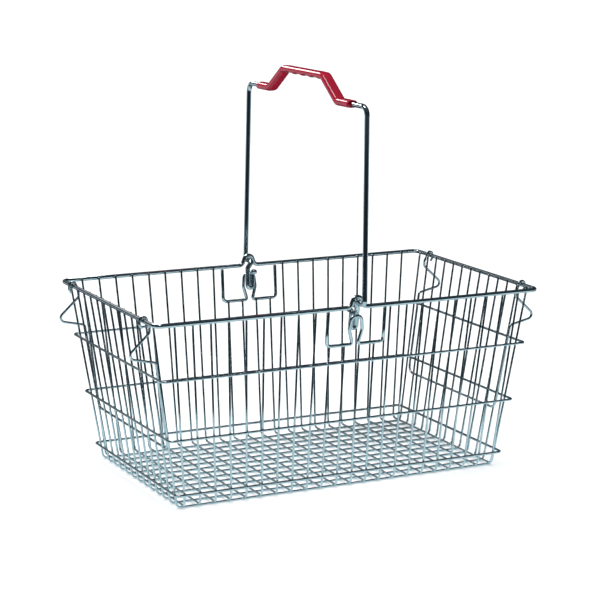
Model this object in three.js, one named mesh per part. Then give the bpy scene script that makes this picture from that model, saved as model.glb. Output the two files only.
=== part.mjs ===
// A chromed wire shopping basket: a tapered body of welded wire, a bail handle with a plastic
// grip that swings under two humps in the rim, and a nest stop that hangs in each end wall.
// Millimetres, +Z up, +X along the basket. The origin is on the floor, under its middle.

import * as THREE from 'three';

// Body: the rim's centre line, and the walls' taper down to the floor.
const RIM_LENGTH = 450;
const RIM_WIDTH = 262;
const RIM_HEIGHT = 200.3;
const RIM_BEND = 8;
const FLOOR_LENGTH = 380.5;
const FLOOR_WIDTH = 218.6;
const FLOOR_BEND = 5.5;

// Wire radii.
const RIM_RADIUS = 2.25;
const MESH_RADIUS = 1.15;
const RING_RADIUS = 1.35;
const BRACKET_RADIUS = 1.85;
const STOP_RADIUS = 1.35;
const HANDLE_RADIUS = 2.8;

// Welded wires stand this far apart, so that each one stays a solid of its own.
const WELD_GAP = 0.3;

// Mesh wires: how many there are, and their pitch at the floor and at the rim.
const CROSS_WIRES = 22;
const CROSS_FLOOR_PITCH = 17.6;
const CROSS_RIM_PITCH = 19.9;
const BRACKET_SPAN_PITCHES = 2.5;
const LONG_WIRES = 13;
const LONG_FLOOR_PITCH = 17;
const LONG_RIM_PITCH = 19.27;
const MESH_END_ABOVE_WELD = 1;

// Rings round the outside of the walls, from the rim down.
const RING_HEIGHTS = { upper_ring: 140.9, middle_ring: 76.7, lower_ring: 16.7 };
const RING_BEND = 5;

// The hump in each long side of the rim, close over the handle's pin, a little off the middle.
const PIVOT_X = 2;
const HUMP_HEIGHT = 11;
const HUMP_CROWN_HALF_WIDTH = 3.95;
const HUMP_FOOT_HALF_WIDTH = 7.9;
const HUMP_CROWN_BEND = 5.6;
const HUMP_FOOT_BEND = 6;

// The bracket under each hump: two windows, with a narrow loop between them.
const BRACKET_HALF_WIDTH = 33.5;
const BRACKET_DEPTH = 39.8;
const BRACKET_BEND = 5;
const LOOP_TOP_DEPTH = 9.7;
const LOOP_TOP_HALF_WIDTH = 5.9;
const LOOP_TOP_BEND = 5.7;
const LOOP_BULGE_DEPTH = 24;
const LOOP_BULGE_HALF_WIDTH = 7.6;
const LOOP_BULGE_BEND = 8;
const LOOP_NECK_HALF_WIDTH = 3.3;
const LOOP_NECK_BEND = 2.4;

// Handle: the bail stands a little off the vertical, and its front leg slants outward.
const HANDLE_LEAN = THREE.MathUtils.degToRad(1.1);
const HANDLE_TOP = 409;
const HANDLE_BEND = 10;
const FRONT_LEG_FOOT_AT = -146.8;
const FRONT_LEG_TOP_AT = -139.4;
const BACK_LEG_AT = 138.2;
const PIN_BEND = 3.8;
const PIN_PLAY = 0.45;

// The hairpin tail on each pin: a jog, a strand down, a turn, a strand up and an inward end.
const TAIL_AT = 121.5;
const TAIL_DOWN_STRAND_AT = 5.6;
const TAIL_UP_STRAND_AT = 0.4;
const TAIL_JOG = 7;
const TAIL_LENGTH = 29.6;
const TAIL_TURN = 2.95;
const TAIL_RETURN_END = 10.9;
const TAIL_END_BEND = 3.2;
const TAIL_END_LENGTH = 7;

// Grip: a moulding over the bail's top wire, raised in the middle for the fingers.
const GRIP_MIDDLE = 0;
const GRIP_HALF_LENGTH = 107.7;
const GRIP_FOOT_BEND_AT = 80;
const GRIP_TOP_BEND_AT = 46.5;
const GRIP_RISE = 23.7;
const GRIP_BEND = 9;
const GRIP_WIDTH = 12.5;
const GRIP_THICKNESS = 8.2;
const GRIP_CORNER = 2.6;
const GRIP_BORE_RADIUS = HANDLE_RADIUS + WELD_GAP;

// Nest stop: distances outward from the end rim's centre line and up from it.
const STOP_LEG_AT = 99.5;
const STOP_FOOT_AT = 95;
const STOP_HOOK = RIM_RADIUS + WELD_GAP + STOP_RADIUS;
const STOP_HOOK_TIP = [1.6, -7.6];
const STOP_LEG_INSET = 6.8;
const STOP_SHOULDER_DROP = 13;
const STOP_KINK = [19.5, -37.3];
const STOP_KINK_BEND = 5;
const STOP_HEEL_DROP = 44.5;
const STOP_FOOT_HEIGHT = 62;
const STOP_FOOT_BEND = 9;
const STOP_WALL_CLEARANCE = 0.35;

// Facets: a bend has a step about every 20 degrees, and a wire has 8 or 10 sides.
const BEND_STEP = Math.PI / 9;
const THIN_WIRE_SIDES = 8;
const THICK_WIRE_SIDES = 10;
const GRIP_CORNER_STEPS = 2;

// The end walls and long walls as the mesh wires' centre planes: half the basket's size at a
// height, straight from the floor up to where the wires lie against the inside of the rim.
const RIM_TO_MESH = RIM_RADIUS + WELD_GAP + MESH_RADIUS;
const endWallAt = (z) => {
  const top = RIM_LENGTH / 2 - RIM_TO_MESH;
  return FLOOR_LENGTH / 2 + (top - FLOOR_LENGTH / 2) * (z / RIM_HEIGHT);
};
const longWallAt = (z) => {
  const top = RIM_WIDTH / 2 - RIM_TO_MESH;
  return FLOOR_WIDTH / 2 + (top - FLOOR_WIDTH / 2) * (z / RIM_HEIGHT);
};

const CHROME = { color: 0xc9ced3, roughness: 0.18, metalness: 1 };
const RED_PLASTIC = { color: 0xa80f1c, roughness: 0.28, metalness: 0 };

// A path through hand-placed stations: its parameter counts stations instead of length, so a
// straight leg takes one step and a bend takes as many as it needs.
class StationPath extends THREE.Curve {
  constructor(stations, closed) {
    super();
    this.stations = stations;
    this.closed = closed;
    this.steps = closed ? stations.length : stations.length - 1;
  }

  station(index) {
    const count = this.stations.length;
    const place = this.closed ? (index + count) % count : THREE.MathUtils.clamp(index, 0, count - 1);
    return this.stations[place];
  }

  getPointAt(u, target = new THREE.Vector3()) {
    return target.copy(this.station(Math.round(u * this.steps)));
  }

  getTangentAt(u, target = new THREE.Vector3()) {
    const index = Math.round(u * this.steps);
    const here = this.station(index);
    const arriving = here.clone().sub(this.station(index - 1)).normalize();
    const leaving = this.station(index + 1).clone().sub(here).normalize();
    return target.copy(arriving).add(leaving).normalize();
  }
}

// The stations of one round bend at a corner, from where the wire leaves its first leg.
function roundBend(before, corner, after, radius) {
  const back = before.clone().sub(corner).normalize();
  const ahead = after.clone().sub(corner).normalize();
  const turn = Math.PI - back.angleTo(ahead);
  const tangentLength = radius * Math.tan(turn / 2);
  const toCentre = back.clone().add(ahead).setLength(radius / Math.cos(turn / 2));
  const centre = corner.clone().add(toCentre);
  const first = corner.clone().addScaledVector(back, tangentLength).sub(centre);
  const last = corner.clone().addScaledVector(ahead, tangentLength).sub(centre);
  const axis = first.clone().cross(last).normalize();
  const steps = Math.max(2, Math.round(turn / BEND_STEP));
  return Array.from({ length: steps + 1 }, (_, step) =>
    first.clone().applyAxisAngle(axis, (turn * step) / steps).add(centre));
}

// A wire's path from its corners. Each corner is [x, y, z, bend radius], and a free end has no
// bend radius.
function wirePath(corners, closed = false) {
  const points = corners.map(([x, y, z]) => new THREE.Vector3(x, y, z));
  const stations = corners.flatMap(([, , , radius], index) => {
    if (radius === undefined) return [points[index]];
    const before = points.at(index - 1);
    const after = points[(index + 1) % points.length];
    return roundBend(before, points[index], after, radius);
  });
  return new StationPath(stations, closed);
}

// A regular polygon with flats at the wire's true radius, and a flat on each axis.
function roundOutline(radius, sides, Outline) {
  const reach = radius / Math.cos(Math.PI / sides);
  const corners = Array.from({ length: sides }, (_, side) => {
    const angle = ((side + 0.5) * 2 * Math.PI) / sides;
    return new THREE.Vector2(reach * Math.cos(angle), reach * Math.sin(angle));
  });
  return new Outline(corners);
}

function part(name, geometry, finish) {
  const mesh = new THREE.Mesh(geometry, new THREE.MeshStandardMaterial(finish));
  mesh.name = name;
  return mesh;
}

function openWire(name, corners, radius, sides = THIN_WIRE_SIDES) {
  const path = wirePath(corners);
  const outline = roundOutline(radius, sides, THREE.Shape);
  const options = { steps: path.steps, bevelEnabled: false, extrudePath: path };
  return part(name, new THREE.ExtrudeGeometry(outline, options), CHROME);
}

function closedWire(name, corners, radius, sides = THIN_WIRE_SIDES) {
  const path = wirePath(corners, true);
  return part(name, new THREE.TubeGeometry(path, path.steps, radius, sides, true), CHROME);
}

// One long side of the rim, with its hump. travel is +1 where the wire runs towards +X.
function rimSide(y, travel) {
  const top = RIM_HEIGHT + HUMP_HEIGHT;
  return [
    [-travel * RIM_LENGTH / 2, y, RIM_HEIGHT, RIM_BEND],
    [PIVOT_X - travel * HUMP_FOOT_HALF_WIDTH, y, RIM_HEIGHT, HUMP_FOOT_BEND],
    [PIVOT_X - travel * HUMP_CROWN_HALF_WIDTH, y, top, HUMP_CROWN_BEND],
    [PIVOT_X + travel * HUMP_CROWN_HALF_WIDTH, y, top, HUMP_CROWN_BEND],
    [PIVOT_X + travel * HUMP_FOOT_HALF_WIDTH, y, RIM_HEIGHT, HUMP_FOOT_BEND],
    [travel * RIM_LENGTH / 2, y, RIM_HEIGHT, RIM_BEND],
  ];
}

function rim() {
  const corners = [...rimSide(-RIM_WIDTH / 2, 1), ...rimSide(RIM_WIDTH / 2, -1)];
  return closedWire('rim_wire', corners, RIM_RADIUS, THICK_WIRE_SIDES);
}

function ring(name, height) {
  const offset = MESH_RADIUS + WELD_GAP + RING_RADIUS;
  const x = endWallAt(height) + offset;
  const y = longWallAt(height) + offset;
  const corners = [[-x, -y], [x, -y], [x, y], [-x, y]];
  return closedWire(name, corners.map(([cx, cy]) => [cx, cy, height, RING_BEND]), RING_RADIUS);
}

// Half the bracket from its welded end to the loop's crown, as [x, depth below the rim, bend].
const HALF_BRACKET = [
  [BRACKET_HALF_WIDTH, RIM_RADIUS + WELD_GAP],
  [BRACKET_HALF_WIDTH, BRACKET_DEPTH, BRACKET_BEND],
  [LOOP_NECK_HALF_WIDTH, BRACKET_DEPTH, LOOP_NECK_BEND],
  [LOOP_BULGE_HALF_WIDTH, LOOP_BULGE_DEPTH, LOOP_BULGE_BEND],
  [LOOP_TOP_HALF_WIDTH, LOOP_TOP_DEPTH, LOOP_TOP_BEND],
];

function handleBracket(name, side) {
  const outward = MESH_RADIUS + WELD_GAP + BRACKET_RADIUS;
  const mirrored = HALF_BRACKET.map(([x, ...rest]) => [-x, ...rest]).reverse();
  const corners = [...HALF_BRACKET, ...mirrored].map(([x, depth, bend]) => {
    const z = RIM_HEIGHT - depth;
    return [PIVOT_X + x, side * (longWallAt(z) + outward), z, bend];
  });
  return openWire(name, corners, BRACKET_RADIUS);
}

// A cross wire runs down one long wall, over the long wires and up the other long wall. The
// few under each hump end on the bracket, and the others end on the rim.
function crossWire(index) {
  const place = index - (CROSS_WIRES - 1) / 2;
  const distance = Math.abs(place);
  const fanned = Math.max(0, distance - BRACKET_SPAN_PITCHES) * (CROSS_RIM_PITCH - CROSS_FLOOR_PITCH);
  const weld = distance < BRACKET_SPAN_PITCHES ? RIM_HEIGHT - BRACKET_DEPTH : RIM_HEIGHT;
  const top = weld + MESH_END_ABOVE_WELD;
  const floor = 3 * MESH_RADIUS + WELD_GAP;
  const xFloor = place * CROSS_FLOOR_PITCH;
  const xTop = xFloor + Math.sign(place) * fanned;
  const corners = [
    [xTop, -longWallAt(top), top],
    [xFloor, -longWallAt(floor), floor, FLOOR_BEND],
    [xFloor, longWallAt(floor), floor, FLOOR_BEND],
    [xTop, longWallAt(top), top],
  ];
  return openWire(`cross_wire_${String(index + 1).padStart(2, '0')}`, corners, MESH_RADIUS);
}

// A long wire runs down one end wall, along the underside and up the other end wall.
function longWire(index) {
  const place = index - (LONG_WIRES - 1) / 2;
  const top = RIM_HEIGHT + MESH_END_ABOVE_WELD;
  const floor = MESH_RADIUS;
  const corners = [
    [-endWallAt(top), place * LONG_RIM_PITCH, top],
    [-endWallAt(floor), place * LONG_FLOOR_PITCH, floor, FLOOR_BEND],
    [endWallAt(floor), place * LONG_FLOOR_PITCH, floor, FLOOR_BEND],
    [endWallAt(top), place * LONG_RIM_PITCH, top],
  ];
  return openWire(`long_wire_${String(index + 1).padStart(2, '0')}`, corners, MESH_RADIUS);
}

// Half a nest stop from its hook's tip to its foot, as [outward, y, up, bend] from the middle
// of the end rim. The kink pokes out through the wall, between two of its wires.
function halfStop() {
  const foot = STOP_FOOT_HEIGHT - RIM_HEIGHT;
  const inset = STOP_RADIUS + MESH_RADIUS + STOP_WALL_CLEARANCE;
  const alongWall = (up) => endWallAt(RIM_HEIGHT + up) - inset - RIM_LENGTH / 2;
  return [
    [STOP_HOOK_TIP[0], STOP_LEG_AT, STOP_HOOK_TIP[1]],
    [STOP_HOOK, STOP_LEG_AT, -STOP_HOOK, 2],
    [STOP_HOOK, STOP_LEG_AT, STOP_HOOK, STOP_HOOK * 0.98],
    [-STOP_HOOK, STOP_LEG_AT, STOP_HOOK, STOP_HOOK * 0.98],
    [-STOP_HOOK, STOP_LEG_AT, -1.6, 2],
    [-STOP_LEG_INSET, STOP_LEG_AT, -STOP_LEG_INSET, 2.4],
    [-STOP_LEG_INSET, STOP_LEG_AT, -STOP_SHOULDER_DROP, 4],
    [STOP_KINK[0], STOP_LEG_AT, STOP_KINK[1], STOP_KINK_BEND],
    [alongWall(-STOP_HEEL_DROP), STOP_LEG_AT, -STOP_HEEL_DROP, 4],
    [alongWall(foot), STOP_FOOT_AT, foot, STOP_FOOT_BEND],
  ];
}

// end is +1 for the stop in the +X end wall.
function nestStop(name, end) {
  const half = halfStop();
  const mirrored = half.map(([outward, y, ...rest]) => [outward, -y, ...rest]).reverse();
  const corners = [...half, ...mirrored].map(([outward, y, up, bend]) =>
    [end * (RIM_LENGTH / 2 + outward), y, RIM_HEIGHT + up, bend]);
  return openWire(name, corners, STOP_RADIUS);
}

// The pins' axis: they sit close under the crowns of the humps.
const PIN_HEIGHT = RIM_HEIGHT + HUMP_HEIGHT - RIM_RADIUS - PIN_PLAY - HANDLE_RADIUS;

// One leg of the bail, from the free end of its hairpin tail to the corner under the grip's
// wire. The tail hangs inside the wall and leans with it, and is the other one turned end for end.
function handleLeg(side, footAt, topAt) {
  const wallLean = (longWallAt(RIM_HEIGHT) - longWallAt(0)) / RIM_HEIGHT;
  const tailPoint = (offset, drop, inward, bend) => {
    const y = side * (TAIL_AT - wallLean * drop - inward);
    return [PIVOT_X - side * offset, y, PIN_HEIGHT - drop, bend];
  };
  return [
    tailPoint(-TAIL_UP_STRAND_AT, TAIL_RETURN_END, TAIL_END_LENGTH),
    tailPoint(-TAIL_UP_STRAND_AT, TAIL_RETURN_END, 0, TAIL_END_BEND),
    tailPoint(-TAIL_UP_STRAND_AT, TAIL_LENGTH, 0, TAIL_TURN),
    tailPoint(TAIL_DOWN_STRAND_AT, TAIL_LENGTH, 0, TAIL_TURN),
    tailPoint(TAIL_DOWN_STRAND_AT, TAIL_JOG, 0, PIN_BEND),
    tailPoint(0, 0, 0, PIN_BEND),
    [PIVOT_X, footAt, PIN_HEIGHT, PIN_BEND],
    [PIVOT_X, topAt, HANDLE_TOP, HANDLE_BEND],
  ];
}

// The wire's middle stretch inside the grip, from the +Y end to the -Y end.
const RAISED_STRETCH = [
  [PIVOT_X, GRIP_MIDDLE + GRIP_FOOT_BEND_AT, HANDLE_TOP, GRIP_BEND],
  [PIVOT_X, GRIP_MIDDLE + GRIP_TOP_BEND_AT, HANDLE_TOP + GRIP_RISE, GRIP_BEND],
  [PIVOT_X, GRIP_MIDDLE - GRIP_TOP_BEND_AT, HANDLE_TOP + GRIP_RISE, GRIP_BEND],
  [PIVOT_X, GRIP_MIDDLE - GRIP_FOOT_BEND_AT, HANDLE_TOP, GRIP_BEND],
];

// Turns a piece of the handle about the pins, from upright to where the bail stands.
function leaning(piece) {
  piece.geometry.translate(-PIVOT_X, 0, -PIN_HEIGHT);
  piece.geometry.rotateY(HANDLE_LEAN);
  piece.geometry.translate(PIVOT_X, 0, PIN_HEIGHT);
  return piece;
}

function handleBail() {
  const backLeg = handleLeg(1, BACK_LEG_AT, BACK_LEG_AT);
  const frontLeg = handleLeg(-1, FRONT_LEG_FOOT_AT, FRONT_LEG_TOP_AT);
  const corners = [...backLeg, ...RAISED_STRETCH, ...frontLeg.reverse()];
  return leaning(openWire('handle_bail', corners, HANDLE_RADIUS, THICK_WIRE_SIDES));
}

// The grip's section: a rectangle with rounded corners, thick along x and wide along y, and a
// bore for the wire.
function gripSection() {
  const x = GRIP_THICKNESS / 2 - GRIP_CORNER;
  const y = GRIP_WIDTH / 2 - GRIP_CORNER;
  const quarters = [[x, y], [-x, y], [-x, -y], [x, -y]];
  const outline = quarters.flatMap(([cx, cy], quarter) =>
    Array.from({ length: GRIP_CORNER_STEPS + 1 }, (_, step) => {
      const angle = ((quarter + step / GRIP_CORNER_STEPS) * Math.PI) / 2;
      return new THREE.Vector2(cx + GRIP_CORNER * Math.cos(angle), cy + GRIP_CORNER * Math.sin(angle));
    }));
  const section = new THREE.Shape(outline);
  section.holes.push(roundOutline(GRIP_BORE_RADIUS, THICK_WIRE_SIDES, THREE.Path));
  return section;
}

function grip() {
  const end = (side) => [PIVOT_X, GRIP_MIDDLE + side * GRIP_HALF_LENGTH, HANDLE_TOP];
  const path = wirePath([end(1), ...RAISED_STRETCH, end(-1)]);
  const options = { steps: path.steps, bevelEnabled: false, extrudePath: path };
  return leaning(part('handle_grip', new THREE.ExtrudeGeometry(gripSection(), options), RED_PLASTIC));
}

function basketBody() {
  const body = new THREE.Group();
  body.add(rim());
  Object.entries(RING_HEIGHTS).forEach(([name, height]) => body.add(ring(name, height)));
  body.add(handleBracket('front_handle_bracket', -1), handleBracket('back_handle_bracket', 1));
  for (let index = 0; index < CROSS_WIRES; index += 1) body.add(crossWire(index));
  for (let index = 0; index < LONG_WIRES; index += 1) body.add(longWire(index));
  return body;
}

function handle() {
  const bail = new THREE.Group();
  bail.add(handleBail(), grip());
  return bail;
}

const basket = new THREE.Group();
basket.add(basketBody(), handle(), nestStop('left_nest_stop', -1), nestStop('right_nest_stop', 1));

export default basket;
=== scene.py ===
"""Looks of a chromed wire shopping basket with a red plastic grip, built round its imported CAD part.

Each CAD wire is a tube with flat sides. Here each one is replaced by a smooth round wire on the
same line, with its welds, and the grip by a moulding with finger ridges. The dimensions below are
the part's own, in millimetres, and every object is built in metres in the part's frame.
"""

import math
import random

import bpy
from mathutils import Matrix, Quaternion, Vector


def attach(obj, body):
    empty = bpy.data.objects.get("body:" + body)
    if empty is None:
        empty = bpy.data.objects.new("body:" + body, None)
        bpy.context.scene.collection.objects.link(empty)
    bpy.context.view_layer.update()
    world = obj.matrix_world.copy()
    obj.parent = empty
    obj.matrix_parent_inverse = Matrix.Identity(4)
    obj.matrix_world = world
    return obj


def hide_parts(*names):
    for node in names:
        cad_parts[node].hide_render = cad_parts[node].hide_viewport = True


MM = 0.001

# The part's dimensions.
RIM_LENGTH = 450
RIM_WIDTH = 262
RIM_HEIGHT = 200.3
RIM_BEND = 8
FLOOR_LENGTH = 380.5
FLOOR_WIDTH = 218.6
FLOOR_BEND = 5.5
RIM_RADIUS = 2.25
MESH_RADIUS = 1.15
RING_RADIUS = 1.35
BRACKET_RADIUS = 1.85
STOP_RADIUS = 1.35
HANDLE_RADIUS = 2.8
WELD_GAP = 0.3
CROSS_WIRES = 22
CROSS_FLOOR_PITCH = 17.6
CROSS_RIM_PITCH = 19.9
BRACKET_SPAN_PITCHES = 2.5
LONG_WIRES = 13
LONG_FLOOR_PITCH = 17
LONG_RIM_PITCH = 19.27
MESH_END_ABOVE_WELD = 1
RING_HEIGHTS = {"upper_ring": 140.9, "middle_ring": 76.7, "lower_ring": 16.7}
RING_BEND = 5
PIVOT_X = 2
HUMP_HEIGHT = 11
HUMP_CROWN_HALF_WIDTH = 3.95
HUMP_FOOT_HALF_WIDTH = 7.9
HUMP_CROWN_BEND = 5.6
HUMP_FOOT_BEND = 6
BRACKET_HALF_WIDTH = 33.5
BRACKET_DEPTH = 39.8
BRACKET_BEND = 5
LOOP_TOP_DEPTH = 9.7
LOOP_TOP_HALF_WIDTH = 5.9
LOOP_TOP_BEND = 5.7
LOOP_BULGE_DEPTH = 24
LOOP_BULGE_HALF_WIDTH = 7.6
LOOP_BULGE_BEND = 8
LOOP_NECK_HALF_WIDTH = 3.3
LOOP_NECK_BEND = 2.4
HANDLE_LEAN = math.radians(1.1)
HANDLE_TOP = 409
HANDLE_BEND = 10
FRONT_LEG_FOOT_AT = -146.8
FRONT_LEG_TOP_AT = -139.4
BACK_LEG_AT = 138.2
PIN_BEND = 3.8
PIN_PLAY = 0.45
TAIL_AT = 121.5
TAIL_DOWN_STRAND_AT = 5.6
TAIL_UP_STRAND_AT = 0.4
TAIL_JOG = 7
TAIL_LENGTH = 29.6
TAIL_TURN = 2.95
TAIL_RETURN_END = 10.9
TAIL_END_BEND = 3.2
TAIL_END_LENGTH = 7
GRIP_MIDDLE = 0
GRIP_HALF_LENGTH = 107.7
GRIP_FOOT_BEND_AT = 80
GRIP_TOP_BEND_AT = 46.5
GRIP_RISE = 23.7
GRIP_BEND = 9
GRIP_WIDTH = 12.5
GRIP_THICKNESS = 8.2
STOP_LEG_AT = 99.5
STOP_FOOT_AT = 95
STOP_HOOK = RIM_RADIUS + WELD_GAP + STOP_RADIUS
STOP_HOOK_TIP = (1.6, -7.6)
STOP_HOOK_TIP_BEND = 2
STOP_HOOK_BEND = STOP_HOOK * 0.98
STOP_HOOK_FOOT_DROP = 1.6
STOP_THROAT_BEND = 2.4
STOP_LEG_INSET = 6.8
STOP_SHOULDER_DROP = 13
STOP_SHOULDER_BEND = 4
STOP_KINK = (19.5, -37.3)
STOP_KINK_BEND = 5
STOP_HEEL_DROP = 44.5
STOP_HEEL_BEND = 4
STOP_FOOT_HEIGHT = 62
STOP_FOOT_BEND = 9
STOP_WALL_CLEARANCE = 0.35
RIM_TO_MESH = RIM_RADIUS + WELD_GAP + MESH_RADIUS

# Smoothness of the round wires: the largest turn between two rings, and the sides of a section.
BEND_STEP = math.radians(7)
FEWEST_BEND_STEPS = 3
THIN_SIDES = 14
THICK_SIDES = 22

# The chamfer on a wire's free end, as a share of its radius.
CHAMFER_SHARE = 0.16


def end_wall_at(z):
    top = RIM_LENGTH / 2 - RIM_TO_MESH
    return FLOOR_LENGTH / 2 + (top - FLOOR_LENGTH / 2) * (z / RIM_HEIGHT)


def long_wall_at(z):
    top = RIM_WIDTH / 2 - RIM_TO_MESH
    return FLOOR_WIDTH / 2 + (top - FLOOR_WIDTH / 2) * (z / RIM_HEIGHT)


def round_bend(before, corner, after, radius, step):
    """Points along one bend, from where the wire leaves its first leg."""
    back = (before - corner).normalized()
    ahead = (after - corner).normalized()
    turn = math.pi - back.angle(ahead)
    centre = corner + (back + ahead).normalized() * (radius / math.cos(turn / 2))
    first = corner + back * (radius * math.tan(turn / 2)) - centre
    last = corner + ahead * (radius * math.tan(turn / 2)) - centre
    axis = first.cross(last).normalized()
    steps = max(FEWEST_BEND_STEPS, math.ceil(turn / step))
    return [centre + Quaternion(axis, turn * i / steps) @ first for i in range(steps + 1)]


def wire_path(corners, step=BEND_STEP):
    """Points of a wire from its corners, each (x, y, z, bend radius); a free end has no radius."""
    points = [Vector(c[:3]) for c in corners]
    path = []
    for i, corner in enumerate(corners):
        if len(corner) < 4:
            path.append(points[i])
            continue
        after = points[(i + 1) % len(points)]
        path.extend(round_bend(points[i - 1], points[i], after, corner[3], step))
    return path


def path_frames(path, closed):
    """For each point of a path, its tangent and a normal carried along with the least twist."""
    count = len(path)
    tangents = []
    for i in range(count):
        if closed:
            before, after = path[i - 1], path[(i + 1) % count]
        else:
            before, after = path[max(0, i - 1)], path[min(count - 1, i + 1)]
        arriving = (path[i] - before).normalized() if before != path[i] else Vector()
        leaving = (after - path[i]).normalized() if after != path[i] else Vector()
        tangents.append((arriving + leaving).normalized())
    aside = min((Vector((1, 0, 0)), Vector((0, 1, 0)), Vector((0, 0, 1))),
                key=lambda axis: abs(axis.dot(tangents[0])))
    normal = (aside - tangents[0] * aside.dot(tangents[0])).normalized()
    frames = [(tangents[0], normal)]
    for before, here in zip(tangents, tangents[1:]):
        normal = before.rotation_difference(here) @ normal
        normal = (normal - here * normal.dot(here)).normalized()
        frames.append((here, normal))
    return frames


def new_object(name, vertices, faces, smooth=True):
    mesh = bpy.data.meshes.new(name)
    mesh.from_pydata([Vector(v) * MM for v in vertices], [], faces)
    mesh.validate()
    mesh.update()
    if smooth:
        mesh.shade_smooth()
    made = bpy.data.objects.new(name, mesh)
    bpy.context.scene.collection.objects.link(made)
    return made


def tube(name, path, radius, sides, closed=False):
    """A round wire along a path, with a small chamfer on a free end."""
    frames = path_frames(path, closed)
    rings = [(point, *directions, radius) for point, directions in zip(path, frames)]
    if not closed:
        chamfer = CHAMFER_SHARE * radius
        head, tail = rings[0], rings[-1]
        rings[0] = (head[0] + head[1] * chamfer, *head[1:])
        rings[-1] = (tail[0] - tail[1] * chamfer, *tail[1:])
        rings.insert(0, (head[0], head[1], head[2], radius - chamfer))
        rings.append((tail[0], tail[1], tail[2], radius - chamfer))
    vertices = []
    for point, tangent, normal, size in rings:
        across = tangent.cross(normal)
        for side in range(sides):
            angle = 2 * math.pi * side / sides
            vertices.append(point + (normal * math.cos(angle) + across * math.sin(angle)) * size)
    faces = []
    last = len(rings) if closed else len(rings) - 1
    for ring in range(last):
        here, there = ring * sides, ((ring + 1) % len(rings)) * sides
        for side in range(sides):
            beside = (side + 1) % sides
            faces.append((here + side, here + beside, there + beside, there + side))
    if not closed:
        faces.append(tuple(reversed(range(sides))))
        faces.append(tuple(range((len(rings) - 1) * sides, len(rings) * sides)))
    return new_object(name, vertices, faces)


# Lines of the wires, in the part's frame. A corner is (x, y, z, bend radius).

def rim_side(y, travel):
    top = RIM_HEIGHT + HUMP_HEIGHT
    return [
        (-travel * RIM_LENGTH / 2, y, RIM_HEIGHT, RIM_BEND),
        (PIVOT_X - travel * HUMP_FOOT_HALF_WIDTH, y, RIM_HEIGHT, HUMP_FOOT_BEND),
        (PIVOT_X - travel * HUMP_CROWN_HALF_WIDTH, y, top, HUMP_CROWN_BEND),
        (PIVOT_X + travel * HUMP_CROWN_HALF_WIDTH, y, top, HUMP_CROWN_BEND),
        (PIVOT_X + travel * HUMP_FOOT_HALF_WIDTH, y, RIM_HEIGHT, HUMP_FOOT_BEND),
        (travel * RIM_LENGTH / 2, y, RIM_HEIGHT, RIM_BEND),
    ]


def rim_corners():
    return rim_side(-RIM_WIDTH / 2, 1) + rim_side(RIM_WIDTH / 2, -1)


def ring_corners(height):
    offset = MESH_RADIUS + WELD_GAP + RING_RADIUS
    x = end_wall_at(height) + offset
    y = long_wall_at(height) + offset
    return [(cx, cy, height, RING_BEND) for cx, cy in ((-x, -y), (x, -y), (x, y), (-x, y))]


HALF_BRACKET = [
    (BRACKET_HALF_WIDTH, RIM_RADIUS + WELD_GAP),
    (BRACKET_HALF_WIDTH, BRACKET_DEPTH, BRACKET_BEND),
    (LOOP_NECK_HALF_WIDTH, BRACKET_DEPTH, LOOP_NECK_BEND),
    (LOOP_BULGE_HALF_WIDTH, LOOP_BULGE_DEPTH, LOOP_BULGE_BEND),
    (LOOP_TOP_HALF_WIDTH, LOOP_TOP_DEPTH, LOOP_TOP_BEND),
]


def bracket_corners(side):
    outward = MESH_RADIUS + WELD_GAP + BRACKET_RADIUS
    mirrored = [(-x, *rest) for x, *rest in reversed(HALF_BRACKET)]
    corners = []
    for x, depth, *bend in HALF_BRACKET + mirrored:
        z = RIM_HEIGHT - depth
        corners.append((PIVOT_X + x, side * (long_wall_at(z) + outward), z, *bend))
    return corners


def cross_wire_line(index):
    """(x at the floor, x at the top, height of the top) of a cross wire."""
    place = index - (CROSS_WIRES - 1) / 2
    beyond = max(0, abs(place) - BRACKET_SPAN_PITCHES)
    fanned = beyond * (CROSS_RIM_PITCH - CROSS_FLOOR_PITCH)
    under_bracket = abs(place) < BRACKET_SPAN_PITCHES
    weld = RIM_HEIGHT - BRACKET_DEPTH if under_bracket else RIM_HEIGHT
    x_floor = place * CROSS_FLOOR_PITCH
    return x_floor, x_floor + math.copysign(fanned, place), weld + MESH_END_ABOVE_WELD


def cross_wire_corners(index):
    x_floor, x_top, top = cross_wire_line(index)
    floor = 3 * MESH_RADIUS + WELD_GAP
    return [
        (x_top, -long_wall_at(top), top),
        (x_floor, -long_wall_at(floor), floor, FLOOR_BEND),
        (x_floor, long_wall_at(floor), floor, FLOOR_BEND),
        (x_top, long_wall_at(top), top),
    ]


def long_wire_corners(index):
    place = index - (LONG_WIRES - 1) / 2
    top = RIM_HEIGHT + MESH_END_ABOVE_WELD
    floor = MESH_RADIUS
    return [
        (-end_wall_at(top), place * LONG_RIM_PITCH, top),
        (-end_wall_at(floor), place * LONG_FLOOR_PITCH, floor, FLOOR_BEND),
        (end_wall_at(floor), place * LONG_FLOOR_PITCH, floor, FLOOR_BEND),
        (end_wall_at(top), place * LONG_RIM_PITCH, top),
    ]


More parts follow.
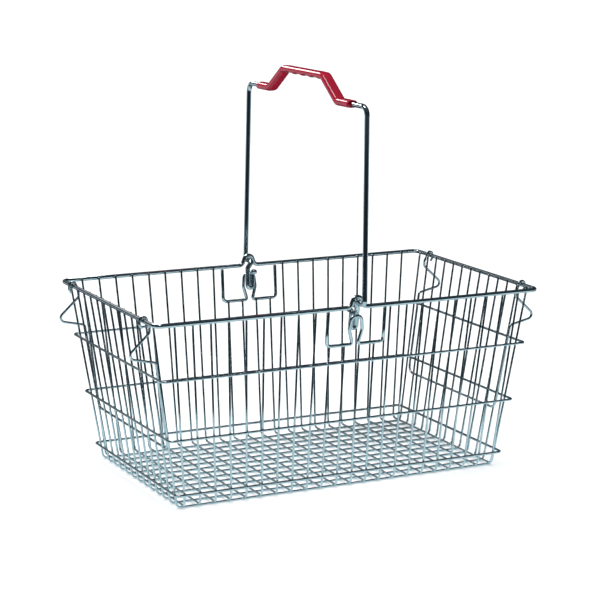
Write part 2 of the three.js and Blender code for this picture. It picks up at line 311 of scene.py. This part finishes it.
def stop_corners(end):
    """A nest stop's corners: first (outward, y, upward) from the end rim wire's centre line."""
    foot = STOP_FOOT_HEIGHT - RIM_HEIGHT
    inset = STOP_RADIUS + MESH_RADIUS + STOP_WALL_CLEARANCE

    def along_wall(up):
        return end_wall_at(RIM_HEIGHT + up) - inset - RIM_LENGTH / 2

    half = [
        (STOP_HOOK_TIP[0], STOP_LEG_AT, STOP_HOOK_TIP[1]),
        (STOP_HOOK, STOP_LEG_AT, -STOP_HOOK, STOP_HOOK_TIP_BEND),
        (STOP_HOOK, STOP_LEG_AT, STOP_HOOK, STOP_HOOK_BEND),
        (-STOP_HOOK, STOP_LEG_AT, STOP_HOOK, STOP_HOOK_BEND),
        (-STOP_HOOK, STOP_LEG_AT, -STOP_HOOK_FOOT_DROP, STOP_HOOK_TIP_BEND),
        (-STOP_LEG_INSET, STOP_LEG_AT, -STOP_LEG_INSET, STOP_THROAT_BEND),
        (-STOP_LEG_INSET, STOP_LEG_AT, -STOP_SHOULDER_DROP, STOP_SHOULDER_BEND),
        (STOP_KINK[0], STOP_LEG_AT, STOP_KINK[1], STOP_KINK_BEND),
        (along_wall(-STOP_HEEL_DROP), STOP_LEG_AT, -STOP_HEEL_DROP, STOP_HEEL_BEND),
        (along_wall(foot), STOP_FOOT_AT, foot, STOP_FOOT_BEND),
    ]
    mirrored = [(out, -y, up, *bend) for out, y, up, *bend in reversed(half)]
    return [(end * (RIM_LENGTH / 2 + out), y, RIM_HEIGHT + up, *bend)
            for out, y, up, *bend in half + mirrored]


PIN_HEIGHT = RIM_HEIGHT + HUMP_HEIGHT - RIM_RADIUS - PIN_PLAY - HANDLE_RADIUS


def handle_leg(side, foot_at, top_at):
    """One leg of the upright bail, from its tail's free end to the corner below the grip."""
    wall_lean = (long_wall_at(RIM_HEIGHT) - long_wall_at(0)) / RIM_HEIGHT

    def tail_point(offset, drop, inward, *bend):
        y = side * (TAIL_AT - wall_lean * drop - inward)
        return (PIVOT_X - side * offset, y, PIN_HEIGHT - drop, *bend)

    return [
        tail_point(-TAIL_UP_STRAND_AT, TAIL_RETURN_END, TAIL_END_LENGTH),
        tail_point(-TAIL_UP_STRAND_AT, TAIL_RETURN_END, 0, TAIL_END_BEND),
        tail_point(-TAIL_UP_STRAND_AT, TAIL_LENGTH, 0, TAIL_TURN),
        tail_point(TAIL_DOWN_STRAND_AT, TAIL_LENGTH, 0, TAIL_TURN),
        tail_point(TAIL_DOWN_STRAND_AT, TAIL_JOG, 0, PIN_BEND),
        tail_point(0, 0, 0, PIN_BEND),
        (PIVOT_X, foot_at, PIN_HEIGHT, PIN_BEND),
        (PIVOT_X, top_at, HANDLE_TOP, HANDLE_BEND),
    ]


RAISED_STRETCH = [
    (PIVOT_X, GRIP_MIDDLE + GRIP_FOOT_BEND_AT, HANDLE_TOP, GRIP_BEND),
    (PIVOT_X, GRIP_MIDDLE + GRIP_TOP_BEND_AT, HANDLE_TOP + GRIP_RISE, GRIP_BEND),
    (PIVOT_X, GRIP_MIDDLE - GRIP_TOP_BEND_AT, HANDLE_TOP + GRIP_RISE, GRIP_BEND),
    (PIVOT_X, GRIP_MIDDLE - GRIP_FOOT_BEND_AT, HANDLE_TOP, GRIP_BEND),
]


def handle_corners():
    back = handle_leg(1, BACK_LEG_AT, BACK_LEG_AT)
    front = handle_leg(-1, FRONT_LEG_FOOT_AT, FRONT_LEG_TOP_AT)
    return back + RAISED_STRETCH + list(reversed(front))


def leaning(points):
    """Points of the upright handle, turned about its pins to where it stands."""
    pins = Vector((PIVOT_X, 0, PIN_HEIGHT))
    turn = Quaternion((0, 1, 0), HANDLE_LEAN)
    return [turn @ (point - pins) + pins for point in points]


# Materials. A texture is (scale, detail), and a bump is (strength, distance).
NOISE_ROUGHNESS = 0.55
CHROME_TONE = (0.765, 0.835, 0.86)
WELD_TONE = (0.60, 0.66, 0.69)
CHROME_PATCH_TEXTURE = (160, 4)
CHROME_PATCH_EDGES = (0.35, 0.6)
CHROME_PATCH_SHADE = 0.86
CHROME_POLISH_TEXTURE = (420, 3)
CHROME_POLISH_SPREAD = (0.6, 1.5)
CHROME_GRAIN_TEXTURE = (1400, 2)
CHROME_GRAIN_BUMP = (0.12, 0.00008)
MESH_DULLNESS = 0.12
THICK_WIRE_DULLNESS = 0.10
WELD_DULLNESS = 0.24
GRIP_TINT_TEXTURE = (70, 3)
GRIP_TINTS = [(0.3, (0.30, 0.001, 0.017)), (0.7, (0.36, 0.002, 0.023))]
GRIP_IOR = 1.5
GRIP_COAT = 0.5
GRIP_COAT_ROUGHNESS = 0.1
GRIP_POLISH_TEXTURE = (240, 3)
GRIP_ROUGHNESS = (0.18, 0.30)
GRIP_PEEL_TEXTURE = (650, 2)
GRIP_PEEL_BUMP = (0.12, 0.0002)


def node_material(name):
    material = bpy.data.materials.new(name)
    material.use_nodes = True
    nodes = material.node_tree.nodes
    return material, nodes, material.node_tree.links, nodes["Principled BSDF"]


def noise(nodes, links, scale, detail):
    place = nodes.new("ShaderNodeTexCoord")
    texture = nodes.new("ShaderNodeTexNoise")
    texture.inputs["Scale"].default_value = scale
    texture.inputs["Detail"].default_value = detail
    texture.inputs["Roughness"].default_value = NOISE_ROUGHNESS
    links.new(place.outputs["Object"], texture.inputs["Vector"])
    return texture.outputs["Fac"]


def ramp(nodes, links, source, stops):
    """A colour ramp fed by source. Each stop is (place, colour)."""
    made = nodes.new("ShaderNodeValToRGB")
    elements = made.color_ramp.elements
    while len(elements) < len(stops):
        elements.new(0.5)
    for element, (place, colour) in zip(elements, stops):
        element.position = place
        element.color = (*colour, 1)
    links.new(source, made.inputs["Fac"])
    return made.outputs["Color"]


def spread(nodes, links, source, low, high):
    """source, from 0 to 1, as a number from low to high."""
    made = nodes.new("ShaderNodeMapRange")
    made.inputs["To Min"].default_value = low
    made.inputs["To Max"].default_value = high
    links.new(source, made.inputs["Value"])
    return made.outputs["Result"]


def bump(nodes, links, height, strength, distance):
    made = nodes.new("ShaderNodeBump")
    made.inputs["Strength"].default_value = strength
    made.inputs["Distance"].default_value = distance
    links.new(height, made.inputs["Height"])
    return made.outputs["Normal"]


def chrome_material(name, tone, dullness):
    """Bright plated wire: a cool metal, slightly uneven in tone and in polish."""
    material, nodes, links, shader = node_material(name)
    shader.inputs["Metallic"].default_value = 1
    patches = noise(nodes, links, *CHROME_PATCH_TEXTURE)
    dark = [CHROME_PATCH_SHADE * c for c in tone]
    stops = list(zip(CHROME_PATCH_EDGES, (dark, tone)))
    links.new(ramp(nodes, links, patches, stops), shader.inputs["Base Color"])
    polish = noise(nodes, links, *CHROME_POLISH_TEXTURE)
    smoothest, dullest = (dullness * share for share in CHROME_POLISH_SPREAD)
    links.new(spread(nodes, links, polish, smoothest, dullest), shader.inputs["Roughness"])
    grain = noise(nodes, links, *CHROME_GRAIN_TEXTURE)
    links.new(bump(nodes, links, grain, *CHROME_GRAIN_BUMP), shader.inputs["Normal"])
    return material


def grip_material():
    """Glossy red moulded plastic, with a faint orange-peel surface."""
    material, nodes, links, shader = node_material("red_grip_plastic")
    tint = noise(nodes, links, *GRIP_TINT_TEXTURE)
    links.new(ramp(nodes, links, tint, GRIP_TINTS), shader.inputs["Base Color"])
    shader.inputs["IOR"].default_value = GRIP_IOR
    shader.inputs["Coat Weight"].default_value = GRIP_COAT
    shader.inputs["Coat Roughness"].default_value = GRIP_COAT_ROUGHNESS
    polish = noise(nodes, links, *GRIP_POLISH_TEXTURE)
    links.new(spread(nodes, links, polish, *GRIP_ROUGHNESS), shader.inputs["Roughness"])
    peel = noise(nodes, links, *GRIP_PEEL_TEXTURE)
    links.new(bump(nodes, links, peel, *GRIP_PEEL_BUMP), shader.inputs["Normal"])
    return material


def finish_piece(piece, material, body, slot, *nodes):
    piece.data.materials.append(material)
    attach(piece, body)
    if nodes:
        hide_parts(*nodes)
    return piece


def build_wires(chrome, thick_chrome):
    def add(node, path, radius, sides, body, metal, closed=False):
        piece = tube(f"{node}_round", path, radius, sides, closed)
        finish_piece(piece, metal, body, "chrome_wire", node)

    add("rim_wire", wire_path(rim_corners()), RIM_RADIUS, THICK_SIDES, "basket", thick_chrome,
        closed=True)
    for node, height in RING_HEIGHTS.items():
        add(node, wire_path(ring_corners(height)), RING_RADIUS, THIN_SIDES, "basket", chrome,
            closed=True)
    for node, side in (("front_handle_bracket", -1), ("back_handle_bracket", 1)):
        path = wire_path(bracket_corners(side))
        add(node, path, BRACKET_RADIUS, THICK_SIDES, "basket", thick_chrome)
    for index in range(CROSS_WIRES):
        path = wire_path(cross_wire_corners(index))
        add(f"cross_wire_{index + 1:02d}", path, MESH_RADIUS, THIN_SIDES, "basket", chrome)
    for index in range(LONG_WIRES):
        path = wire_path(long_wire_corners(index))
        add(f"long_wire_{index + 1:02d}", path, MESH_RADIUS, THIN_SIDES, "basket", chrome)
    for end_name, end in (("left", -1), ("right", 1)):
        path = wire_path(stop_corners(end))
        add(f"{end_name}_nest_stop", path, STOP_RADIUS, THIN_SIDES, f"{end_name}_stop", chrome)
    path = leaning(wire_path(handle_corners()))
    add("handle_bail", path, HANDLE_RADIUS, THICK_SIDES, "handle", thick_chrome)


# The grip: stations along its line, and a rounded section that the finger ridges shape from below.
GRIP_STEP = 1.4
GRIP_BEND_STEP = math.radians(4)
GRIP_SECTION_POINTS = 40
GRIP_SQUARENESS = 3.2
GRIP_BORE = HANDLE_RADIUS + WELD_GAP
GRIP_BORE_DEPTH = 9
GRIP_MOUTH = GRIP_BORE + 0.4
GRIP_MOUTH_DEPTH = 0.3
GRIP_LIP = 1.2
GRIP_SHOULDER = 0.35

# Rings of an end, from inside the bore to the outside: (depth from the end, half width, half
# thickness, squareness).
GRIP_END_RINGS = [
    (GRIP_BORE_DEPTH, GRIP_BORE, GRIP_BORE, 2),
    (GRIP_MOUTH_DEPTH, GRIP_BORE, GRIP_BORE, 2),
    (0, GRIP_MOUTH, GRIP_MOUTH, 2),
    (0, GRIP_WIDTH / 2 - GRIP_LIP, GRIP_THICKNESS / 2 - GRIP_LIP * 0.6, 2.6),
    (GRIP_SHOULDER, GRIP_WIDTH / 2 - GRIP_SHOULDER, GRIP_THICKNESS / 2 - 0.25, 3),
]
RIDGE_PITCH = 19.5
RIDGE_COUNT = 5
RIDGE_DEPTH = 1.5


def resample(path, step):
    """The path as points step apart, nearly, both ends included."""
    lengths = [0.0]
    for here, there in zip(path, path[1:]):
        lengths.append(lengths[-1] + (there - here).length)
    count = max(2, round(lengths[-1] / step))
    made, piece = [], 0
    for i in range(count + 1):
        at = lengths[-1] * i / count
        while piece < len(path) - 2 and lengths[piece + 1] < at:
            piece += 1
        share = (at - lengths[piece]) / (lengths[piece + 1] - lengths[piece])
        made.append(path[piece].lerp(path[piece + 1], min(1, max(0, share))))
    return made


def finger_dip(y):
    """How far the underside is hollowed at y, between the ridges of the raised middle."""
    along = (y - GRIP_MIDDLE) / RIDGE_PITCH
    if abs(along) > (RIDGE_COUNT - 1) / 2:
        return 0.0
    return RIDGE_DEPTH * math.sin(math.pi * (along + RIDGE_COUNT / 2 - 0.5)) ** 2


def grip_object():
    """The moulding, as rings along the bail's line from one end's bore to the other's."""
    ends = [(PIVOT_X, GRIP_MIDDLE + side * GRIP_HALF_LENGTH, HANDLE_TOP) for side in (1, -1)]
    path = resample(wire_path([ends[0], *RAISED_STRETCH, ends[1]], GRIP_BEND_STEP), GRIP_STEP)
    across = Vector((1, 0, 0))
    vertices, faces = [], []
    count = GRIP_SECTION_POINTS

    def add_ring(point, tangent, half_width, half_thick, dip, squareness):
        up = across.cross(tangent).normalized()
        if up.z < 0:
            up = -up
        for side in range(count):
            angle = 2 * math.pi * side / count
            c, s = math.cos(angle), math.sin(angle)
            x = half_width * math.copysign(abs(c) ** (2 / squareness), c)
            h = half_thick * math.copysign(abs(s) ** (2 / squareness), s)
            if h < 0:
                h += dip * (-h / half_thick)
            vertices.append(point + across * x + up * h)

    frames = path_frames(path, False)
    first, last = frames[0][0], frames[-1][0]
    rings = [(path[0] + first * depth, first, wide, thick, 0, squareness)
             for depth, wide, thick, squareness in GRIP_END_RINGS]
    for point, (tangent, _) in list(zip(path, frames))[1:-1]:
        rings.append((point, tangent, GRIP_WIDTH / 2, GRIP_THICKNESS / 2, finger_dip(point.y),
                      GRIP_SQUARENESS))
    rings += [(path[-1] - last * depth, last, wide, thick, 0, squareness)
              for depth, wide, thick, squareness in reversed(GRIP_END_RINGS)]
    for ring in rings:
        add_ring(*ring)
    for ring in range(len(rings) - 1):
        here, there = ring * count, (ring + 1) * count
        for side in range(count):
            beside = (side + 1) % count
            faces.append((here + side, there + side, there + beside, here + beside))
    return new_object("grip_moulding", leaning(vertices), faces)


# Welds: where two wires of the body cross, the metal has squashed into a small flat lump.
WELD_RINGS = 5
WELD_SIDES = 8
WELD_LENGTH = 1.25
WELD_STRETCH = (0.9, 1.15)
WELD_UNEVENNESS = (0.94, 1.06)
WELD_FLATNESS = 0.95
WELD_SEED = 41
FLOOR_WELD_RADIUS = 0.62
RING_WELD_RADIUS = 0.66
RIM_WELD_RADIUS = 0.85
RIM_WELD_DROP = 0.4


def weld_lump(vertices, faces, centre, along, outward, size, chance):
    """One lump at centre: long along a direction, and thin along outward."""
    third = along.cross(outward).normalized()
    first = len(vertices)
    stretch = chance.uniform(*WELD_STRETCH)
    for ring in range(1, WELD_RINGS):
        polar = math.pi * ring / WELD_RINGS
        for side in range(WELD_SIDES):
            angle = 2 * math.pi * side / WELD_SIDES
            radius = math.sin(polar) * size * chance.uniform(*WELD_UNEVENNESS)
            vertices.append(centre + along * (radius * math.cos(angle) * WELD_LENGTH * stretch)
                            + third * (radius * math.sin(angle))
                            + outward * (math.cos(polar) * size * WELD_FLATNESS))
    poles = (len(vertices), len(vertices) + 1)
    for way in (outward, -outward):
        vertices.append(centre + way * size * WELD_FLATNESS)
    for ring in range(WELD_RINGS - 2):
        for side in range(WELD_SIDES):
            beside = (side + 1) % WELD_SIDES
            a, b = first + ring * WELD_SIDES, first + (ring + 1) * WELD_SIDES
            faces.append((a + side, b + side, b + beside, a + beside))
    for side in range(WELD_SIDES):
        beside = (side + 1) % WELD_SIDES
        last = first + (WELD_RINGS - 2) * WELD_SIDES
        faces.append((poles[0], first + side, first + beside))
        faces.append((poles[1], last + beside, last + side))


def build_welds(chrome):
    chance = random.Random(WELD_SEED)
    wall_reach = MESH_RADIUS + WELD_GAP / 2
    groups = {"floor_welds": ([], []), "ring_welds": ([], []), "rim_welds": ([], [])}
    x_axis, y_axis, z_axis = Vector((1, 0, 0)), Vector((0, 1, 0)), Vector((0, 0, 1))

    def long_wire_y(index, z):
        place = index - (LONG_WIRES - 1) / 2
        return place * (LONG_FLOOR_PITCH + (LONG_RIM_PITCH - LONG_FLOOR_PITCH) * z / RIM_HEIGHT)

    def cross_wire_x(index, z):
        x_floor, x_top, top = cross_wire_line(index)
        return x_floor + (x_top - x_floor) * z / top

    def add(group, centre, along, outward, size):
        weld_lump(*groups[group], Vector(centre), along, outward, size, chance)

    floor_z = 2 * MESH_RADIUS + WELD_GAP / 2
    for cross in range(CROSS_WIRES):
        for long in range(LONG_WIRES):
            x, y = cross_wire_line(cross)[0], long_wire_y(long, 0)
            add("floor_welds", (x, y, floor_z), x_axis, z_axis, FLOOR_WELD_RADIUS)
    for group, radius, heights in (
        ("ring_welds", RING_WELD_RADIUS, RING_HEIGHTS.values()),
        ("rim_welds", RIM_WELD_RADIUS, (RIM_HEIGHT - RIM_WELD_DROP,)),
    ):
        for z in heights:
            for end in (-1, 1):
                for long in range(LONG_WIRES):
                    x = end * (end_wall_at(z) + wall_reach)
                    add(group, (x, long_wire_y(long, z), z), y_axis, x_axis, radius)
                for cross in range(CROSS_WIRES):
                    if z > cross_wire_line(cross)[2]:
                        continue
                    y = end * (long_wall_at(z) + wall_reach)
                    add(group, (cross_wire_x(cross, z), y, z), x_axis, y_axis, radius)
    for name, (vertices, faces) in groups.items():
        piece = new_object(name, vertices, faces)
        finish_piece(piece, chrome, "basket", "chrome_wire")


# The set, in metres: a white floor under an overhead sun, in a world that is dark all round. A
# mirrored ray that meets the floor finds a painted reflection that the camera doesn't see: the floor
# glows pale blue near the basket, dark beyond it, and grey-blue far out on the side away from the
# camera, standing in for a lit table and backdrop. A pair of numbers is where a change of tone
# begins and ends.
FLOOR_SIZE = 60
PAPER_TONE = (0.93, 0.935, 0.94)
# Tones of the painted reflection, and where on the floor each one glows for mirrored rays.
NEAR_REFLECTION_RADII = (0.74, 0.95)
NEAR_REFLECTION_BACK_EDGE = (0.04, 0.25)
NEAR_REFLECTION_TONE = (0.57, 0.75, 0.81)
DARK_REFLECTION_TONE = (0.012, 0.018, 0.024)
FAR_SIDE = (0.4538, 0.8911, 0)
FAR_SIDE_COSINES = (-0.15, 0.25)
BACKDROP_REFLECTION_RADII = (0.95, 1.15)
BACKDROP_REFLECTION_TONE = (0.46, 0.55, 0.61)

# The world's tones from the horizon, at 0, to straight up, at 1.
SKY_TONES = [
    (0.0, (0.03, 0.045, 0.055)),
    (0.12, (0.02, 0.03, 0.04)),
    (0.45, (0.012, 0.018, 0.024)),
    (1.0, (0.06, 0.075, 0.09)),
]

# Lights: (name, place, target, power, size). The sun doesn't show in the wires, and the rest do:
# a softbox behind the basket, and two small ones that light the grip from behind and from above.
SUN = ("overhead_sky", (-0.4, 0.9, 4), (0, 0, 0), 3.95, math.radians(120))
SOFTBOXES = [
    ("back_softbox", (-0.25, 2.7, 1.5), (0, 0, 0.42), 1.3, (1.5, 0.5)),
    ("grip_back_light", (-0.1, 0.43, 0.63), (0, 0, 0.43), 1.1, (0.26, 0.14)),
    ("grip_top_light", (-0.18, -0.02, 0.88), (0, -0.05, 0.42), 0.8, (0.16, 0.16)),
]


def calculate(nodes, links, operation, first, second):
    made = nodes.new("ShaderNodeMath")
    made.operation = operation
    links.new(first, made.inputs[0])
    links.new(second, made.inputs[1])
    return made.outputs["Value"]


def between(nodes, links, source, low, high):
    """How far source has come on its way from low to high, from 0 to 1."""
    made = nodes.new("ShaderNodeMapRange")
    made.inputs["From Min"].default_value = low
    made.inputs["From Max"].default_value = high
    links.new(source, made.inputs["Value"])
    return made.outputs["Result"]


def build_floor():
    half = FLOOR_SIZE / 2 / MM
    corners = [(-half, -half, 0), (half, -half, 0), (half, half, 0), (-half, half, 0)]
    floor = new_object("studio_floor", corners, [(0, 1, 2, 3)], smooth=False)
    material, nodes, links, _ = node_material("studio_floor_paper_and_painted_reflection")
    nodes.clear()
    out = nodes.new("ShaderNodeOutputMaterial")
    paper = nodes.new("ShaderNodeBsdfDiffuse")
    paper.inputs["Color"].default_value = (*PAPER_TONE, 1)
    # Painted reflection: the floor glows with these tones for mirrored rays only, though it is no
    # lamp.
    painted_reflection = nodes.new("ShaderNodeEmission")
    place = nodes.new("ShaderNodeTexCoord")
    length = nodes.new("ShaderNodeVectorMath")
    length.operation = "LENGTH"
    links.new(place.outputs["Object"], length.inputs[0])
    distance = length.outputs["Value"]
    along = nodes.new("ShaderNodeVectorMath")
    along.operation = "DOT_PRODUCT"
    along.inputs[1].default_value = FAR_SIDE
    links.new(place.outputs["Object"], along.inputs[0])
    cosine = calculate(nodes, links, "DIVIDE", along.outputs["Value"], distance)
    off_near_reflection = calculate(nodes, links, "MAXIMUM", between(nodes, links, distance, *NEAR_REFLECTION_RADII),
                          between(nodes, links, along.outputs["Value"], *NEAR_REFLECTION_BACK_EDGE))
    near_reflection = ramp(nodes, links, off_near_reflection, [(0.0, NEAR_REFLECTION_TONE), (1.0, DARK_REFLECTION_TONE)])
    behind = between(nodes, links, cosine, *FAR_SIDE_COSINES)
    beyond = between(nodes, links, distance, *BACKDROP_REFLECTION_RADII)
    backdrop_reflection = nodes.new("ShaderNodeMix")
    backdrop_reflection.data_type = "RGBA"
    links.new(calculate(nodes, links, "MULTIPLY", behind, beyond), backdrop_reflection.inputs["Factor"])
    links.new(near_reflection, backdrop_reflection.inputs["A"])
    backdrop_reflection.inputs["B"].default_value = (*BACKDROP_REFLECTION_TONE, 1)
    links.new(backdrop_reflection.outputs["Result"], painted_reflection.inputs["Color"])
    # Mirrored rays see the glowing painted reflection, and all other rays see the plain white paper.
    ray = nodes.new("ShaderNodeLightPath")
    mix = nodes.new("ShaderNodeMixShader")
    links.new(ray.outputs["Is Glossy Ray"], mix.inputs["Fac"])
    links.new(paper.outputs["BSDF"], mix.inputs[1])
    links.new(painted_reflection.outputs["Emission"], mix.inputs[2])
    links.new(mix.outputs["Shader"], out.inputs["Surface"])
    floor.data.materials.append(material)


def build_world():
    world = bpy.data.worlds.new("studio_world")
    bpy.context.scene.world = world
    world.use_nodes = True
    nodes, links = world.node_tree.nodes, world.node_tree.links
    nodes.clear()
    place = nodes.new("ShaderNodeTexCoord")
    parts = nodes.new("ShaderNodeSeparateXYZ")
    links.new(place.outputs["Generated"], parts.inputs["Vector"])
    sky = ramp(nodes, links, parts.outputs["Z"], SKY_TONES)
    background = nodes.new("ShaderNodeBackground")
    links.new(sky, background.inputs["Color"])
    out = nodes.new("ShaderNodeOutputWorld")
    links.new(background.outputs["Background"], out.inputs["Surface"])


def aim(direction):
    """A rotation whose -Z axis points along direction."""
    return Vector(direction).to_track_quat("-Z", "Y").to_matrix().to_4x4()


def add_light(kind, name, place, target, power):
    data = bpy.data.lights.new(name, kind)
    data.energy = power
    light = bpy.data.objects.new(name, data)
    bpy.context.scene.collection.objects.link(light)
    light.matrix_world = Matrix.Translation(place) @ aim(Vector(target) - Vector(place))
    light.visible_camera = False
    return light


def build_lights():
    *sun_line, angle = SUN
    sun = add_light("SUN", *sun_line)
    sun.data.angle = angle
    sun.visible_glossy = False
    for *line, size in SOFTBOXES:
        softbox = add_light("AREA", *line)
        softbox.data.shape = "RECTANGLE"
        softbox.data.size, softbox.data.size_y = size


# The camera stands a little over two metres away, left of the basket's front, and looks down. Its
# place is in millimetres.
CAMERA_PLACE = (-991.3, -1944.9, 633.2)
CAMERA_FORWARD = (0.4445, 0.8728, -0.2017)
CAMERA_UP = (0.0848, 0.1831, 0.9794)
CAMERA_LENS = 122.04
CAMERA_SENSOR_WIDTH = 36
CAMERA_SHIFT = 0.004
CAMERA_SEES_TO = 100


def build_camera():
    data = bpy.data.cameras.new("camera")
    data.lens = CAMERA_LENS
    data.sensor_width = CAMERA_SENSOR_WIDTH
    data.shift_x = CAMERA_SHIFT
    data.clip_end = CAMERA_SEES_TO
    camera = bpy.data.objects.new("camera", data)
    bpy.context.scene.collection.objects.link(camera)
    forward = Vector(CAMERA_FORWARD).normalized()
    right = forward.cross(Vector(CAMERA_UP)).normalized()
    up = right.cross(forward)
    turn = Matrix((right, up, -forward)).transposed().to_4x4()
    camera.matrix_world = Matrix.Translation(Vector(CAMERA_PLACE) * MM) @ turn
    bpy.context.scene.camera = camera


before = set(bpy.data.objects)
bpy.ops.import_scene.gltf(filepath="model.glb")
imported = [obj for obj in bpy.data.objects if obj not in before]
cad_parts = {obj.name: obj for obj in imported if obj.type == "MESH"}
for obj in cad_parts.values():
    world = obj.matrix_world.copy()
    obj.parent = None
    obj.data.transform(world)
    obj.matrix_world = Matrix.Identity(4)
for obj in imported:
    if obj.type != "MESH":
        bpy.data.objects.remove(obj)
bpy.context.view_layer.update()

bright_chrome = chrome_material("bright_chrome", CHROME_TONE, MESH_DULLNESS)
thick_chrome = chrome_material("thick_wire_chrome", CHROME_TONE, THICK_WIRE_DULLNESS)
weld_chrome = chrome_material("weld_chrome", WELD_TONE, WELD_DULLNESS)

build_wires(bright_chrome, thick_chrome)
finish_piece(grip_object(), grip_material(), "handle", "red_grip", "handle_grip")
build_welds(weld_chrome)
build_floor()
build_world()
build_lights()
build_camera()
bpy.context.scene.view_settings.view_transform = "Standard"
